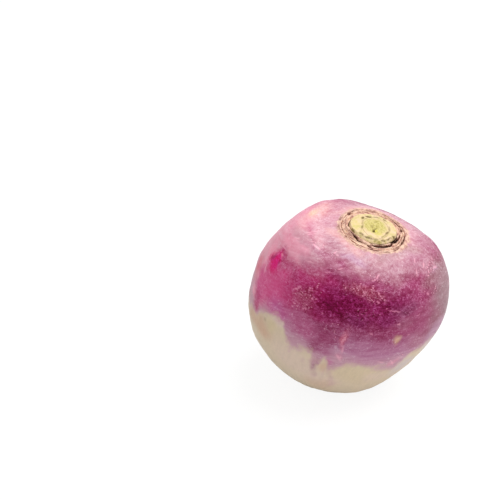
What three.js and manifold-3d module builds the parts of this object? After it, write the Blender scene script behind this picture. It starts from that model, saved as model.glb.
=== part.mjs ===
// A purple-top turnip, trimmed for market. It has three pieces: the swollen root, the dry leaf
// bases in the shallow pit of its crown, and the stub of cut leaf stalks that stands on them.
// Millimetres, +Z up. The turnip is shaped upright on its own axis and then leant into the pose
// it lies in, on one small flat spot. The origin is the middle of that spot.
import * as THREE from "three";
import Module from "manifold-3d";
import { mergeVertices } from "three/addons/utils/BufferGeometryUtils.js";

const wasm = await Module();
wasm.setup();

// ---------------------------------------------------------------- driving dimensions (mm, degrees)

// Half outline of the root on its own axis, as [radius, height]: the scar of the trimmed tap
// root, then the skin up to the crown.
const SCAR_OUTLINE = [
  [0, -42.6],
  [1.8, -42.7],
  [2.7, -43.1],
];
const SKIN_OUTLINE = [
  [3.5, -43.0],
  [9.7, -41.5],
  [20.0, -38.2],
  [30.8, -29.5],
  [37.1, -18.4],
  [39.8, -3.1],
  [39.1, 8.5],
  [36.8, 18.5],
  [32.0, 26.4],
  [24.2, 30.6],
  [16.6, 33.4],
];
const ROOT_SEGMENTS = 72; // facets round the root
const RINGS_PER_SPAN = 3; // rings between two points of the skin's outline

// Where the root swelled unevenly: the skin is pushed out or in at one point, less and less out
// to the reach. A point is given by its azimuth from +X, its distance from the axis, its height.
const SWELLINGS = {
  leftFlank: { azimuth: 180, radius: 39.3, height: 6, reach: 40, push: -1.2 },
  rightFlank: { azimuth: 0, radius: 39.3, height: 6, reach: 46, push: 3.8 },
  backShoulder: { azimuth: 90, radius: 34.9, height: 22, reach: 32, push: -1.1 },
  leftShoulder: { azimuth: 150, radius: 33.7, height: 24, reach: 30, push: -3.0 },
  rightShoulder: { azimuth: 20, radius: 34.9, height: 22, reach: 34, push: 2.0 },
  frontLow: { azimuth: 270, radius: 32.5, height: -27, reach: 34, push: 1.3 },
  heel: { azimuth: 330, radius: 21.0, height: -37.5, reach: 24, push: 0.8 },
  topRight: { azimuth: 45, radius: 23.5, height: 31, reach: 16, push: -0.7 },
  topLeft: { azimuth: 125, radius: 23.5, height: 31, reach: 16, push: 1.0 },
};

// The crown: a corky lip round a shallow pit.
const LIP_RADIUS = 15.2;
const LIP_HEIGHT = 33.9;
const LIP_EDGE = 0.4; // rounding of the lip's inner edge
const LIP_WAVE = 0.25; // how far the lip rises and falls on its way round
const LIP_WAVE_REACH = 1.5; // how far from the lip the wave is felt
const PIT_RADIUS = 14.3;
const PIT_FLOOR = 30.8;
const GAP = 0.3; // clearance between two pieces

// The crown grew a little askew: all of it is turned about one point of the axis, and the skin
// round it follows less and less.
const CROWN_TILT_X = -1.4;
const CROWN_TILT_Y = -7.9;
const CROWN_MIDDLE = 33.6; // height of the point it turns about
const CROWN_RADIUS = 16; // what turns as one
const CROWN_REACH = 20; // how far beyond that the skin still follows

// The dry leaf bases: crescents in a spiral on one round plate that fills the pit.
const PLATE_THICKNESS = 1.2;
const PLATE_EDGE = 0.4;
const LEAF_COUNT = 9;
const GOLDEN_ANGLE = 137.5; // turn from one leaf to the next
const FIRST_LEAF_ANGLE = 300;
const LEAF_OUTER_RADIUS = 13.9; // of the oldest, lowest leaf
const LEAF_RADIUS_STEP = 0.28; // how much nearer the axis the next leaf stands
const LEAF_HALF_ANGLE = 62;
const LEAF_THICKNESS = 0.9; // in the middle of the crescent
const LEAF_TIP_THICKNESS = 0.1; // at its two ends
const LEAF_RISE = 0.9; // of the oldest leaf above the plate
const LEAF_RISE_STEP = 0.09;
const LEAF_ROOTING = 0.8; // how deep a crescent is sunk into the plate
const LEAF_STEPS = 12; // facets along a crescent

// The stub of the cut leaf stalks: a low round block with a groove round its pith.
const STUB_RADIUS = 10.3;
const STUB_FOOT_RADIUS = 9.8;
const STUB_TOP = 35.2;
const STUB_EDGE = 0.6; // rounding of the upper edge
const STUB_SEGMENTS = 60;
const STUB_WAVES = [
  { count: 3, size: 0.012, start: 0.5 },
  { count: 5, size: 0.01, start: 2 },
];
const PITH_RADIUS = 6.3;
const GROOVE_DEPTH = 0.4;
const GROOVE_WIDTH = 0.5;
const PITH_RINGS = 5; // rings across the pith
const BUD = { x: -0.1, y: -1.6, size: 1.6, depth: 0.9 }; // the cut bud in the pith

// The lie of the turnip: first it leans towards -Y, then towards +X.
const LEAN_FRONT = 5.7;
const LEAN_RIGHT = 19.2;
const REST_SPOT = { x: 0.5, y: -0.8 }; // seen from the turnip's own middle, once it leans
const REST_HEIGHT = 41.9; // of the turnip's own middle above the floor
const SPOT_EDGE = 0.5; // half height of the soft edge round the flat spot

// ---------------------------------------------------------------- helpers

const radians = THREE.MathUtils.degToRad;
const fade = (t) => THREE.MathUtils.smoothstep(t, 0, 1);

// Runs change(point) on every vertex of a geometry.
function reshape(geometry, change) {
  const position = geometry.getAttribute("position");
  const point = new THREE.Vector3();
  for (let i = 0; i < position.count; i++) {
    point.fromBufferAttribute(position, i);
    change(point);
    position.setXYZ(i, point.x, point.y, point.z);
  }
  return geometry;
}

// Turns an outline of [radius, height] points, from the bottom up, about the turnip's axis.
function turned(outline, segments) {
  const points = outline.map(([radius, height]) => new THREE.Vector2(radius, height));
  return new THREE.LatheGeometry(points, segments).rotateX(Math.PI / 2);
}

// A closed geometry as a solid.
function toSolid(geometry) {
  const bare = geometry.clone();
  bare.deleteAttribute("normal");
  bare.deleteAttribute("uv");
  const merged = mergeVertices(bare, 1e-3);
  const mesh = new wasm.Mesh({
    numProp: 3,
    vertProperties: new Float32Array(merged.getAttribute("position").array),
    triVerts: new Uint32Array(merged.index.array),
  });
  return new wasm.Manifold(mesh);
}

// A solid as a geometry.
function toGeometry(solid) {
  const { vertProperties, triVerts } = solid.getMesh();
  const geometry = new THREE.BufferGeometry();
  geometry.setAttribute("position", new THREE.BufferAttribute(vertProperties, 3));
  geometry.setIndex(new THREE.BufferAttribute(triVerts, 1));
  return geometry;
}

// A geometry as a named piece of the turnip.
function piece(name, geometry, color, roughness) {
  geometry.deleteAttribute("normal");
  geometry.computeVertexNormals();
  const look = new THREE.MeshStandardMaterial({ color, roughness, metalness: 0 });
  const mesh = new THREE.Mesh(geometry, look);
  mesh.name = name;
  return mesh;
}

// ---------------------------------------------------------------- the growth and the lie

const swellings = Object.values(SWELLINGS).map(({ azimuth, radius, height, reach, push }) => {
  const x = radius * Math.cos(radians(azimuth));
  const y = radius * Math.sin(radians(azimuth));
  const centre = new THREE.Vector3(x, y, height);
  return { centre, reach, shift: centre.clone().normalize().multiplyScalar(push) };
});

// Pushes a point of the upright turnip out or in with the swellings.
function swell(point) {
  for (const { centre, reach, shift } of swellings) {
    point.addScaledVector(shift, fade(1 - point.distanceTo(centre) / reach));
  }
}

const crownMiddle = new THREE.Vector3(0, 0, CROWN_MIDDLE);
const crownTilt = new THREE.Vector3(radians(CROWN_TILT_X), radians(CROWN_TILT_Y), 0);
const crownAxis = crownTilt.clone().normalize();

// Turns a point of the upright turnip with the tilt of its crown.
function tiltCrown(point) {
  const beyond = Math.max(0, Math.hypot(point.x, point.y) - CROWN_RADIUS);
  const away = Math.hypot(beyond, point.z - CROWN_MIDDLE);
  const turn = crownTilt.length() * fade(1 - away / CROWN_REACH);
  point.sub(crownMiddle).applyAxisAngle(crownAxis, turn).add(crownMiddle);
}

// What the uneven growth does to a point of the upright turnip.
function grow(point) {
  tiltCrown(point);
  swell(point);
}

// From the upright turnip to the leaning one, with the flat spot's middle at the origin.
const lie = new THREE.Matrix4()
  .makeTranslation(-REST_SPOT.x, -REST_SPOT.y, REST_HEIGHT)
  .multiply(new THREE.Matrix4().makeRotationY(radians(LEAN_RIGHT)))
  .multiply(new THREE.Matrix4().makeRotationX(radians(LEAN_FRONT)));

// Presses what would be under the floor into the flat spot, with a soft edge round it.
function press(point) {
  if (point.z < -SPOT_EDGE) point.z = 0;
  else if (point.z < SPOT_EDGE) point.z = (point.z + SPOT_EDGE) ** 2 / (4 * SPOT_EDGE);
}

// ---------------------------------------------------------------- the swollen root

function swollenRoot() {
  const curve = new THREE.SplineCurve(SKIN_OUTLINE.map(([r, h]) => new THREE.Vector2(r, h)));
  const rings = (SKIN_OUTLINE.length - 1) * RINGS_PER_SPAN;
  const skin = curve.getPoints(rings).map((point) => point.toArray());
  const crown = [
    [LIP_RADIUS, LIP_HEIGHT],
    [PIT_RADIUS + LIP_EDGE, LIP_HEIGHT],
    [PIT_RADIUS, LIP_HEIGHT - LIP_EDGE],
    [PIT_RADIUS, PIT_FLOOR],
    [PIT_RADIUS / 2, PIT_FLOOR],
    [0, PIT_FLOOR],
  ];
  const geometry = turned([...SCAR_OUTLINE, ...skin, ...crown], ROOT_SEGMENTS);
  reshape(geometry, (point) => {
    const angle = Math.atan2(point.y, point.x);
    const inwards = Math.hypot(point.x, point.y) - LIP_RADIUS;
    const nearLip = fade(1 - Math.hypot(inwards, point.z - LIP_HEIGHT) / LIP_WAVE_REACH);
    point.z += LIP_WAVE * nearLip * Math.sin(3 * angle + 1) * Math.cos(5 * angle);
    grow(point);
  });
  geometry.applyMatrix4(lie);
  reshape(geometry, press);
  return piece("swollen_root", geometry, 0xaf6987, 0.42);
}

// ---------------------------------------------------------------- the dry leaf bases

// One crescent about the axis: an arc on the outside, thinner towards both ends on the inside.
function crescent(radius, bottom, top) {
  const half = radians(LEAF_HALF_ANGLE);
  const outline = new THREE.Shape();
  outline.absarc(0, 0, radius, -half, half, false);
  for (let i = 0; i <= LEAF_STEPS; i++) {
    const angle = half - (2 * half * i) / LEAF_STEPS;
    const bulge = Math.cos((angle / half) * (Math.PI / 2));
    const inner = radius - THREE.MathUtils.lerp(LEAF_TIP_THICKNESS, LEAF_THICKNESS, bulge);
    outline.lineTo(inner * Math.cos(angle), inner * Math.sin(angle));
  }
  const settings = { depth: top - bottom, bevelEnabled: false, curveSegments: LEAF_STEPS };
  return new THREE.ExtrudeGeometry(outline, settings).translate(0, 0, bottom);
}

function leafBases() {
  const bottom = PIT_FLOOR + GAP;
  const top = bottom + PLATE_THICKNESS;
  const radius = PIT_RADIUS - GAP;
  const plate = [
    [0, bottom],
    [radius, bottom],
    [radius, top - PLATE_EDGE],
    [radius - PLATE_EDGE, top],
    [0, top],
  ];
  let solid = toSolid(turned(plate, ROOT_SEGMENTS));
  for (let i = 0; i < LEAF_COUNT; i++) {
    const tip = top + LEAF_RISE + LEAF_RISE_STEP * i;
    const leaf = crescent(LEAF_OUTER_RADIUS - LEAF_RADIUS_STEP * i, top - LEAF_ROOTING, tip);
    leaf.rotateZ(radians(FIRST_LEAF_ANGLE + GOLDEN_ANGLE * i));
    solid = solid.add(toSolid(leaf));
  }
  const geometry = reshape(toGeometry(solid), grow).applyMatrix4(lie);
  return piece("leaf_bases", geometry, 0x9a7462, 0.85);
}

// ---------------------------------------------------------------- the stub of the leaf stalks

function stalkStub() {
  const bottom = PIT_FLOOR + GAP + PLATE_THICKNESS + GAP;
  const outline = [
    [0, bottom],
    [STUB_FOOT_RADIUS, bottom],
    [STUB_RADIUS, STUB_TOP - STUB_EDGE],
    [STUB_RADIUS - STUB_EDGE / 3, STUB_TOP - STUB_EDGE / 3],
    [STUB_RADIUS - STUB_EDGE, STUB_TOP],
    [PITH_RADIUS + GROOVE_WIDTH, STUB_TOP],
    [PITH_RADIUS, STUB_TOP - GROOVE_DEPTH],
  ];
  for (let i = 0; i <= PITH_RINGS; i++) {
    outline.push([(PITH_RADIUS - GROOVE_WIDTH) * (1 - i / PITH_RINGS), STUB_TOP]);
  }
  const geometry = turned(outline, STUB_SEGMENTS);
  reshape(geometry, (point) => {
    if (point.z === Math.fround(STUB_TOP)) {
      const toBud = Math.hypot(point.x - BUD.x, point.y - BUD.y);
      point.z -= BUD.depth * fade(1 - toBud / BUD.size);
    }
    const angle = Math.atan2(point.y, point.x);
    for (const { count, size, start } of STUB_WAVES) {
      const wider = 1 + size * Math.sin(count * angle + start);
      point.x *= wider;
      point.y *= wider;
    }
    grow(point);
  });
  geometry.applyMatrix4(lie);
  return piece("stalk_stub", geometry, 0xd9cf8a, 0.6);
}

const turnip = new THREE.Group();
turnip.add(swollenRoot(), leafBases(), stalkStub());

export default turnip;
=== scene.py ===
# %% [markdown]
# # A purple-top turnip
#
# This lesson finishes a trimmed turnip. The frame already holds three plain solids: the swollen
# root, the dry leaf bases in the pit of its crown, and the stub of the cut leaf stalks. Each is
# replaced by a finer mesh of the same form, with a finish of its own.
#
# The frame is loaded first. It leaves its own pieces selected, and an operator acts on all that
# is selected, so everything is deselected before the first new piece is made.

import math

import bmesh
import bpy
import numpy as np
from mathutils import Matrix, Vector, noise


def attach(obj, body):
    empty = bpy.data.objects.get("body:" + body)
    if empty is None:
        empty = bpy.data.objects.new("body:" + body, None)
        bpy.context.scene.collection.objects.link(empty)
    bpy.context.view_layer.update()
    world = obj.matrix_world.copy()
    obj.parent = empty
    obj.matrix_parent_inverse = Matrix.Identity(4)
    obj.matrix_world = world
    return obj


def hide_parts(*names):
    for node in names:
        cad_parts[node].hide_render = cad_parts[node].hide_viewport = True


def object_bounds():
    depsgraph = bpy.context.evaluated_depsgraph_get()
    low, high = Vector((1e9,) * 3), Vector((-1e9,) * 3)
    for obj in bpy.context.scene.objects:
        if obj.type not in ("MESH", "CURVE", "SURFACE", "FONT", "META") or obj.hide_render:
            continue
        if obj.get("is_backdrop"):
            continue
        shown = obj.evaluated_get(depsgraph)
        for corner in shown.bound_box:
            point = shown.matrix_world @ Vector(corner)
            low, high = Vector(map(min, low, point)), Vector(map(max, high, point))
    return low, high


MM = 0.001

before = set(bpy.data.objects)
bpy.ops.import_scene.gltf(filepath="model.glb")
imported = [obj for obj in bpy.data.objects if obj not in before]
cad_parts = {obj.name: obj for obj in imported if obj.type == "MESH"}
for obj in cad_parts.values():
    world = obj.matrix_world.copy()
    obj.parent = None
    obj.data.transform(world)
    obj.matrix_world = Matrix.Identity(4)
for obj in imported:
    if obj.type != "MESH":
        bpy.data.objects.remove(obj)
cad_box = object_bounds()
bpy.ops.object.select_all(action="DESELECT")

# %% [markdown]
# ## The camera
#
# The turnip is seen from a little above. The camera stands 60 cm away and looks down by 30
# degrees, with a lens long enough that 215 mm fill the picture at that distance. It aims past
# the turnip's left side, so the turnip lies right of the middle and no lens shift is needed.

# %% Camera
CAMERA_AIM = Vector((-40.45, 9.51, 56.98)) * MM
CAMERA_ELEVATION = math.radians(30)
CAMERA_DISTANCE = 600 * MM
VIEW_WIDTH = 215 * MM
SENSOR_WIDTH = 36

towards_camera = Vector((0, -math.cos(CAMERA_ELEVATION), math.sin(CAMERA_ELEVATION)))
bpy.ops.object.camera_add(
    location=CAMERA_AIM + CAMERA_DISTANCE * towards_camera,
    rotation=(math.pi / 2 - CAMERA_ELEVATION, 0, 0),
)
camera = bpy.context.object
camera.name = "camera"
camera.data.sensor_width = SENSOR_WIDTH
camera.data.lens = SENSOR_WIDTH * CAMERA_DISTANCE / VIEW_WIDTH
bpy.context.scene.camera = camera
print("lens", round(camera.data.lens, 1), "mm")

# %% [markdown]
# ## A finish is a tree of nodes
#
# A long tree of nodes is hard to read when each node takes six lines. So one helper adds a node,
# sets it and joins its inputs. Sums, products and maxima take as many numbers as are needed, where
# a Math node takes two. Colours are written as they look on a screen, and `paint` turns them into
# the linear values that a shader wants.

# %% Nodes
def paint(code):
    """A colour such as "e8dcc4", as linear red, green, blue and alpha."""
    shares = [int(code[i : i + 2], 16) / 255 for i in (0, 2, 4)]
    linear = [s / 12.92 if s <= 0.04045 else ((s + 0.055) / 1.055) ** 2.4 for s in shares]
    return (*linear, 1.0)


class Nodes:
    """A material whose nodes are added one after another."""

    def __init__(self, name, **surface):
        self.material = bpy.data.materials.new(name)
        self.material.use_nodes = True
        self.tree = self.material.node_tree
        self.shader = self.tree.nodes["Principled BSDF"]
        for socket, value in surface.items():
            self.shader.inputs[socket.replace("_", " ")].default_value = value

    def add(self, kind, inputs, **settings):
        """One node. Its inputs are values, colour codes or outputs of earlier nodes."""
        node = self.tree.nodes.new("ShaderNode" + kind)
        for name, value in settings.items():
            setattr(node, name, value)
        for socket, value in inputs.items():
            if isinstance(value, bpy.types.NodeSocket):
                self.tree.links.new(value, node.inputs[socket])
            else:
                plain = paint(value) if isinstance(value, str) else value
                node.inputs[socket].default_value = plain
        return node

    def set(self, socket, value):
        """Joins an output to the surface itself."""
        self.tree.links.new(value, self.shader.inputs[socket])

    def joined(self, operation, *values):
        """Numbers joined one after another by the same operation."""
        result = values[0]
        for value in values[1:]:
            result = self.add("Math", {0: result, 1: value}, operation=operation).outputs[0]
        return result

    def plus(self, *values):
        return self.joined("ADD", *values)

    def times(self, *values):
        return self.joined("MULTIPLY", *values)

    def most(self, *values):
        return self.joined("MAXIMUM", *values)


# %% [markdown]
# ## The kinds of nodes
#
# The finishes of a root need only a few kinds: attributes that were painted on the vertices,
# noises, soft steps, and ways to lay one colour over another. A soft step is the most useful: it
# says where a noise starts to count and how much.

# %% Kinds of nodes
class Finish(Nodes):
    """A material with short names for the kinds of nodes that a root needs."""

    def attribute(self, name, output="Fac"):
        return self.add("Attribute", {}, attribute_name=name).outputs[output]

    def stretched(self, place, scale):
        """Coordinates drawn out: a scale under 1 makes a pattern longer that way."""
        return self.add("Mapping", {"Vector": place, "Scale": scale}).outputs[0]

    def noise(self, place, scale, detail=3.0, roughness=0.5, distortion=0.0):
        wanted = {"Scale": scale, "Detail": detail, "Roughness": roughness}
        wanted["Distortion"] = distortion
        return self.add("TexNoise", {"Vector": place, **wanted}).outputs["Fac"]

    def between(self, value, low, high, start=0.0, end=1.0):
        """A soft step: start at low, end at high."""
        wanted = {"Value": value, "From Min": low, "From Max": high, "To Min": start, "To Max": end}
        return self.add("MapRange", wanted, interpolation_type="SMOOTHSTEP").outputs["Result"]

    def mix(self, share, under, over, way="MIX"):
        """One colour laid over another. A Mix node keeps its two colours in sockets 6 and 7."""
        settings = {"data_type": "RGBA", "blend_type": way, "clamp_result": False}
        return self.add("Mix", {0: share, 6: under, 7: over}, **settings).outputs[2]

    def deepened(self, colour, power):
        """A colour raised to a power: deeper and richer over 1, paler under 1."""
        return self.add("Gamma", {"Color": colour, "Gamma": power}).outputs[0]

    def ramp(self, value, *stops):
        """A colour from a number, by (place, colour code) stops."""
        node = self.add("ValToRGB", {"Fac": value})
        band = node.color_ramp
        while len(band.elements) < len(stops):
            band.elements.new(0.5)
        for element, (place, code) in zip(band.elements, stops):
            element.position = place
            element.color = paint(code)
        return node.outputs["Color"]

    def bump(self, height, distance, strength):
        wanted = {"Height": height, "Distance": distance, "Strength": strength}
        return self.add("Bump", wanted).outputs["Normal"]


def dress(piece, finish):
    """Gives a whole piece one finish."""
    piece.data.materials.clear()
    piece.data.materials.append(finish.material)
    piece.data.polygons.foreach_set("material_index", [0] * len(piece.data.polygons))


# %% [markdown]
# ## The sky
#
# A turnip in a studio stands in even white light from all round. That light is the world. It is
# too weak to look white itself, so the camera is shown a second, brighter background: a shader
# can be mixed by whether a ray comes straight from the camera.

# %% Sky
SKY_STRENGTH = 0.56
SEEN_STRENGTH = 1.0
WHITE = (1, 1, 1, 1)


def for_camera(tree, usual, seen):
    """A shader that lights the scene as usual, but looks otherwise to the camera."""
    is_seen = tree.nodes.new("ShaderNodeLightPath").outputs["Is Camera Ray"]
    either = tree.nodes.new("ShaderNodeMixShader")
    for socket, value in enumerate((is_seen, usual, seen)):
        tree.links.new(value, either.inputs[socket])
    return either.outputs[0]


scene = bpy.context.scene
scene.view_settings.view_transform = "Standard"
scene.world = bpy.data.worlds.new("studio")
scene.world.use_nodes = True
sky = scene.world.node_tree
skies = (sky.nodes["Background"], sky.nodes.new("ShaderNodeBackground"))
for background, strength in zip(skies, (SKY_STRENGTH, SEEN_STRENGTH)):
    background.inputs["Color"].default_value = WHITE
    background.inputs["Strength"].default_value = strength
either_sky = for_camera(sky, *(background.outputs[0] for background in skies))
sky.links.new(either_sky, sky.nodes["World Output"].inputs["Surface"])
print("sky:", SKY_STRENGTH, "seen as", SEEN_STRENGTH)

# %% [markdown]
# ## Soft box and floor
#
# One large round soft box hangs overhead, a little to the right and behind. The floor is a sweep
# of white paper. What the camera sees of it is lit up almost to white, so only a breath of shadow
# is left where the turnip rests, while the light that it throws back on the turnip is that of
# plain white paper.

# %% Soft box and floor
BOX_PLACE = Vector((0.35, 0.15, 0.85))  # in metres, as all of the studio
BOX_TARGET = Vector((0, 0, 0.04))
BOX_SIZE = 0.9
BOX_POWER = 8.2
FLOOR_SIZE = 30.0
FLOOR_GLOW = 0.9
FLOOR_SHADE = 0.14  # share of the floor that still takes shadow
PAPER = "e6e6e6"

bpy.ops.object.light_add(type="AREA", location=BOX_PLACE)
soft_box = bpy.context.object
soft_box.name = "soft_box"
soft_box.data.shape = "DISK"
soft_box.data.size = BOX_SIZE
soft_box.data.energy = BOX_POWER
soft_box.rotation_euler = (BOX_TARGET - BOX_PLACE).to_track_quat("-Z", "Y").to_euler()

bpy.ops.mesh.primitive_plane_add(size=FLOOR_SIZE, location=(0, 0, 0))
floor = bpy.context.object
floor.name = "floor"
sweep = Finish("white_sweep", Base_Color=paint(PAPER), Roughness=1.0, Specular_IOR_Level=0.0)
glow = sweep.add("Emission", {"Color": WHITE, "Strength": FLOOR_GLOW}).outputs[0]
shade = sweep.add("BsdfDiffuse", {"Color": (FLOOR_SHADE, FLOOR_SHADE, FLOOR_SHADE, 1)}).outputs[0]
lit_up = sweep.add("AddShader", {0: glow, 1: shade}).outputs[0]
either_floor = for_camera(sweep.tree, sweep.shader.outputs[0], lit_up)
sweep.tree.links.new(either_floor, sweep.tree.nodes["Material Output"].inputs["Surface"])
dress(floor, sweep)
floor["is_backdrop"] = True

# %% [markdown]
# ## How the turnip is shaped
#
# A turnip grows round its own upright axis, and only then rolls over and comes to lie askew. It is
# much easier to model in the same order. Every piece starts upright as a body turned about the
# axis. Then the growth is added: the crown tilts a little and the flanks swell unevenly. Last, the
# whole piece is leant over and set down. All three pieces go through the same growth and the same
# lean, so they keep fitting each other.
#
# Sizes are in millimetres on the upright turnip, with the height counted from its middle. A body
# is turned like clay on a wheel: one vertex is extruded along half of the outline, and the line is
# spun round the axis. The spin leaves doubles at the seam and the poles, so they are merged, and
# after that the normals are recalculated.

# %% Turned bodies
MERGE_REACH = 0.001  # in millimetres


def pick(piece):
    """Selects one piece alone and makes it the active one."""
    bpy.ops.object.select_all(action="DESELECT")
    piece.select_set(True)
    bpy.context.view_layer.objects.active = piece


def turned(name, outline, steps):
    """A closed body turned about the axis from half its outline, as (radius, height)."""
    start_radius, start_height = outline[0]
    place = (start_radius * MM, 0, start_height * MM)
    bpy.ops.mesh.primitive_plane_add(size=MM, location=place)
    piece = bpy.context.object
    piece.name = piece.data.name = name
    bpy.ops.object.mode_set(mode="EDIT")
    bpy.ops.mesh.merge(type="CENTER")
    for (radius, height), (next_radius, next_height) in zip(outline, outline[1:]):
        step = ((next_radius - radius) * MM, 0, (next_height - height) * MM)
        bpy.ops.mesh.extrude_vertices_move(TRANSFORM_OT_translate={"value": step})
    bpy.ops.mesh.select_all(action="SELECT")
    bpy.ops.mesh.spin(steps=steps, angle=2 * math.pi, center=(0, 0, 0), axis=(0, 0, 1))
    bpy.ops.mesh.select_all(action="SELECT")
    bpy.ops.mesh.remove_doubles(threshold=MERGE_REACH * MM)
    bpy.ops.mesh.normals_make_consistent(inside=False)
    bpy.ops.object.mode_set(mode="OBJECT")
    bpy.ops.object.transform_apply()
    return piece


def modified(piece, kind, **settings):
    """Adds one modifier to a piece and applies it."""
    pick(piece)
    modifier = piece.modifiers.new(kind.lower(), kind)
    for name, value in settings.items():
        setattr(modifier, name, value)
    bpy.ops.object.modifier_apply(modifier=modifier.name)


# %% [markdown]
# ## The tilt of the crown
#
# Proportional editing makes the same soft bulges that a hand would pull out of clay: what is
# selected is moved or turned, and all within reach follow it less and less. For the tilt, the
# whole crown is selected, and the skin round it follows. With no window open, `transform.rotate`
# turns the other way round and needs to be told its centre, hence the minus sign and
# `center_override`.

# %% Tilt of the crown
CROWN_TURNS = {"X": -1.4, "Y": -7.9}
CROWN_MIDDLE = 33.6  # height of the point that the crown turns about
CROWN_RADIUS = 16
CROWN_FOOT = 25  # height above which a part of a piece belongs to the crown
CROWN_REACH = 20
SOFTLY = {
    "use_proportional_edit": True,
    "use_proportional_connected": False,
    "proportional_edit_falloff": "SMOOTH",
}


def tilt_crown(piece):
    """Turns the crown of a piece in edit mode, and what lies round it follows."""
    mesh = bmesh.from_edit_mesh(piece.data)
    for vertex in mesh.verts:
        near = math.hypot(vertex.co.x, vertex.co.y) < CROWN_RADIUS * MM
        vertex.select = near and vertex.co.z > CROWN_FOOT * MM
    mesh.select_flush_mode()
    bmesh.update_edit_mesh(piece.data)
    for axis, angle in CROWN_TURNS.items():
        bpy.ops.transform.rotate(
            value=-math.radians(angle),
            orient_axis=axis,
            orient_type="GLOBAL",
            center_override=(0, 0, CROWN_MIDDLE * MM),
            proportional_size=CROWN_REACH * MM,
            **SOFTLY,
        )


# %% [markdown]
# ## Swellings
#
# No root is a perfect lathe turning. Here the right flank swells most and the left shoulder stays
# low. Each swelling is a place on the skin that is pushed out from the middle, or in where the
# push is negative. The last three are slight: they round off the right flank, low down.
#
# What is moved is a loose vertex, a marker that is added where the swelling has its middle and
# deleted afterwards, so the same swelling does the same to every piece, however its mesh runs.

# %% Swellings
SWELLINGS = {  # azimuth from +X, distance from the axis, height, reach, push
    "left flank": (180, 39.3, 6, 40, -1.2),
    "right flank": (0, 39.3, 6, 46, 3.8),
    "back shoulder": (90, 34.9, 22, 32, -1.1),
    "left shoulder": (150, 33.7, 24, 30, -3.0),
    "right shoulder": (20, 34.9, 22, 34, 2.0),
    "front, low": (270, 32.5, -27, 34, 1.3),
    "heel": (330, 21.0, -37.5, 24, 0.8),
    "top, right": (45, 23.5, 31, 16, -0.7),
    "top, left": (125, 23.5, 31, 16, 1.0),
    "right hip": (348, 39.4, 6, 22, 1.2),
    "right, low": (332, 38.4, -13, 18, 0.3),
    "under the front": (305, 33.7, -25, 17, 0.9),
}


def on_turnip(azimuth, radius, height):
    """A point of the upright turnip in millimetres."""
    turn = math.radians(azimuth)
    return Vector((radius * math.cos(turn), radius * math.sin(turn), height))


def swell(piece):
    """Swells a piece in edit mode round a marker for each swelling."""
    for azimuth, radius, height, reach, push in SWELLINGS.values():
        bpy.ops.mesh.select_all(action="DESELECT")
        middle = on_turnip(azimuth, radius, height)
        mesh = bmesh.from_edit_mesh(piece.data)
        marker = mesh.verts.new(middle * MM)
        marker.select = True
        bmesh.update_edit_mesh(piece.data)
        bpy.ops.transform.translate(
            value=middle.normalized() * push * MM, proportional_size=reach * MM, **SOFTLY
        )
        bpy.ops.mesh.delete(type="VERT")


print("swellings:", len(SWELLINGS))

# %% [markdown]
# ## Growth
#
# Growth is both, one after the other, on an upright piece: first its crown is tilted, and then it
# is swollen.

# %% Growth
def grow(piece):
    """Gives an upright piece the uneven growth of this turnip."""
    pick(piece)
    bpy.ops.object.mode_set(mode="EDIT")
    bpy.ops.mesh.select_mode(type="VERT")
    bpy.ops.mesh.select_all(action="DESELECT")
    tilt_crown(piece)
    swell(piece)
    bpy.ops.object.mode_set(mode="OBJECT")


# %% [markdown]
# ## How it lies
#
# A grown piece is leant to the front and to the right and set down, with the middle of its rest
# at the origin. A heavy root presses itself a small flat spot where it touches the table. A
# cut would leave a sharp edge there, so the height is bent to zero by a parabola, which starts
# half a millimetre above the table.

# %% Lie and foot
LEAN_FRONT = 5.7
LEAN_RIGHT = 19.2
REST_SPOT = (0.5, -0.8)
REST_HEIGHT = 41.9
SPOT_EDGE = 0.5  # height at which the skin starts to bend into the flat spot


def places(piece):
    """Where the vertices of a piece are, as rows of x, y, z in millimetres."""
    rows = np.empty(len(piece.data.vertices) * 3)
    piece.data.vertices.foreach_get("co", rows)
    return rows.reshape(-1, 3) / MM


def set_places(piece, rows):
    piece.data.vertices.foreach_set("co", (rows * MM).ravel())
    piece.data.update()


def lay_down(piece):
    """Leans a grown piece over and sets it down."""
    lean = Matrix.Rotation(math.radians(LEAN_RIGHT), 4, "Y")
    lean @= Matrix.Rotation(math.radians(LEAN_FRONT), 4, "X")
    shift = Vector((-REST_SPOT[0], -REST_SPOT[1], REST_HEIGHT)) * MM
    piece.matrix_world = Matrix.Translation(shift) @ lean
    pick(piece)
    bpy.ops.object.transform_apply()


def press_foot(piece):
    """Presses what reaches below the table into a soft flat spot."""
    rows = places(piece)
    pressed = np.maximum(rows[:, 2] + SPOT_EDGE, 0) ** 2 / (4 * SPOT_EDGE)
    rows[:, 2] = np.where(rows[:, 2] < SPOT_EDGE, pressed, rows[:, 2])
    set_places(piece, rows)


# %% [markdown]
# ## What the finishes need to know
#
# A finish can only follow the root's own growth if it knows where each vertex was on the upright
# turnip. So that place is stored before the piece is leant. A second set of coordinates runs round
# the axis: it changes fast from ring to ring and slowly on the way round, so a noise that reads it
# is drawn out into rings, as the scars of leaves are. A third climbs on its way round, for the
# strokes in the blush, which run a little aslant.

# %% Stored places
RING_PACE = 2.0  # how fast the ring coordinates change outwards, for each millimetre
AROUND_PACE = 4.5  # and on the way round, for each radian
AXIS_RADIUS = 0.5  # nearer to the axis than this, the ring coordinates run together
SLANT = 13.0  # how much the brushed coordinates climb on the way round
SLANT_AZIMUTH = 230  # where they climb most


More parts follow.
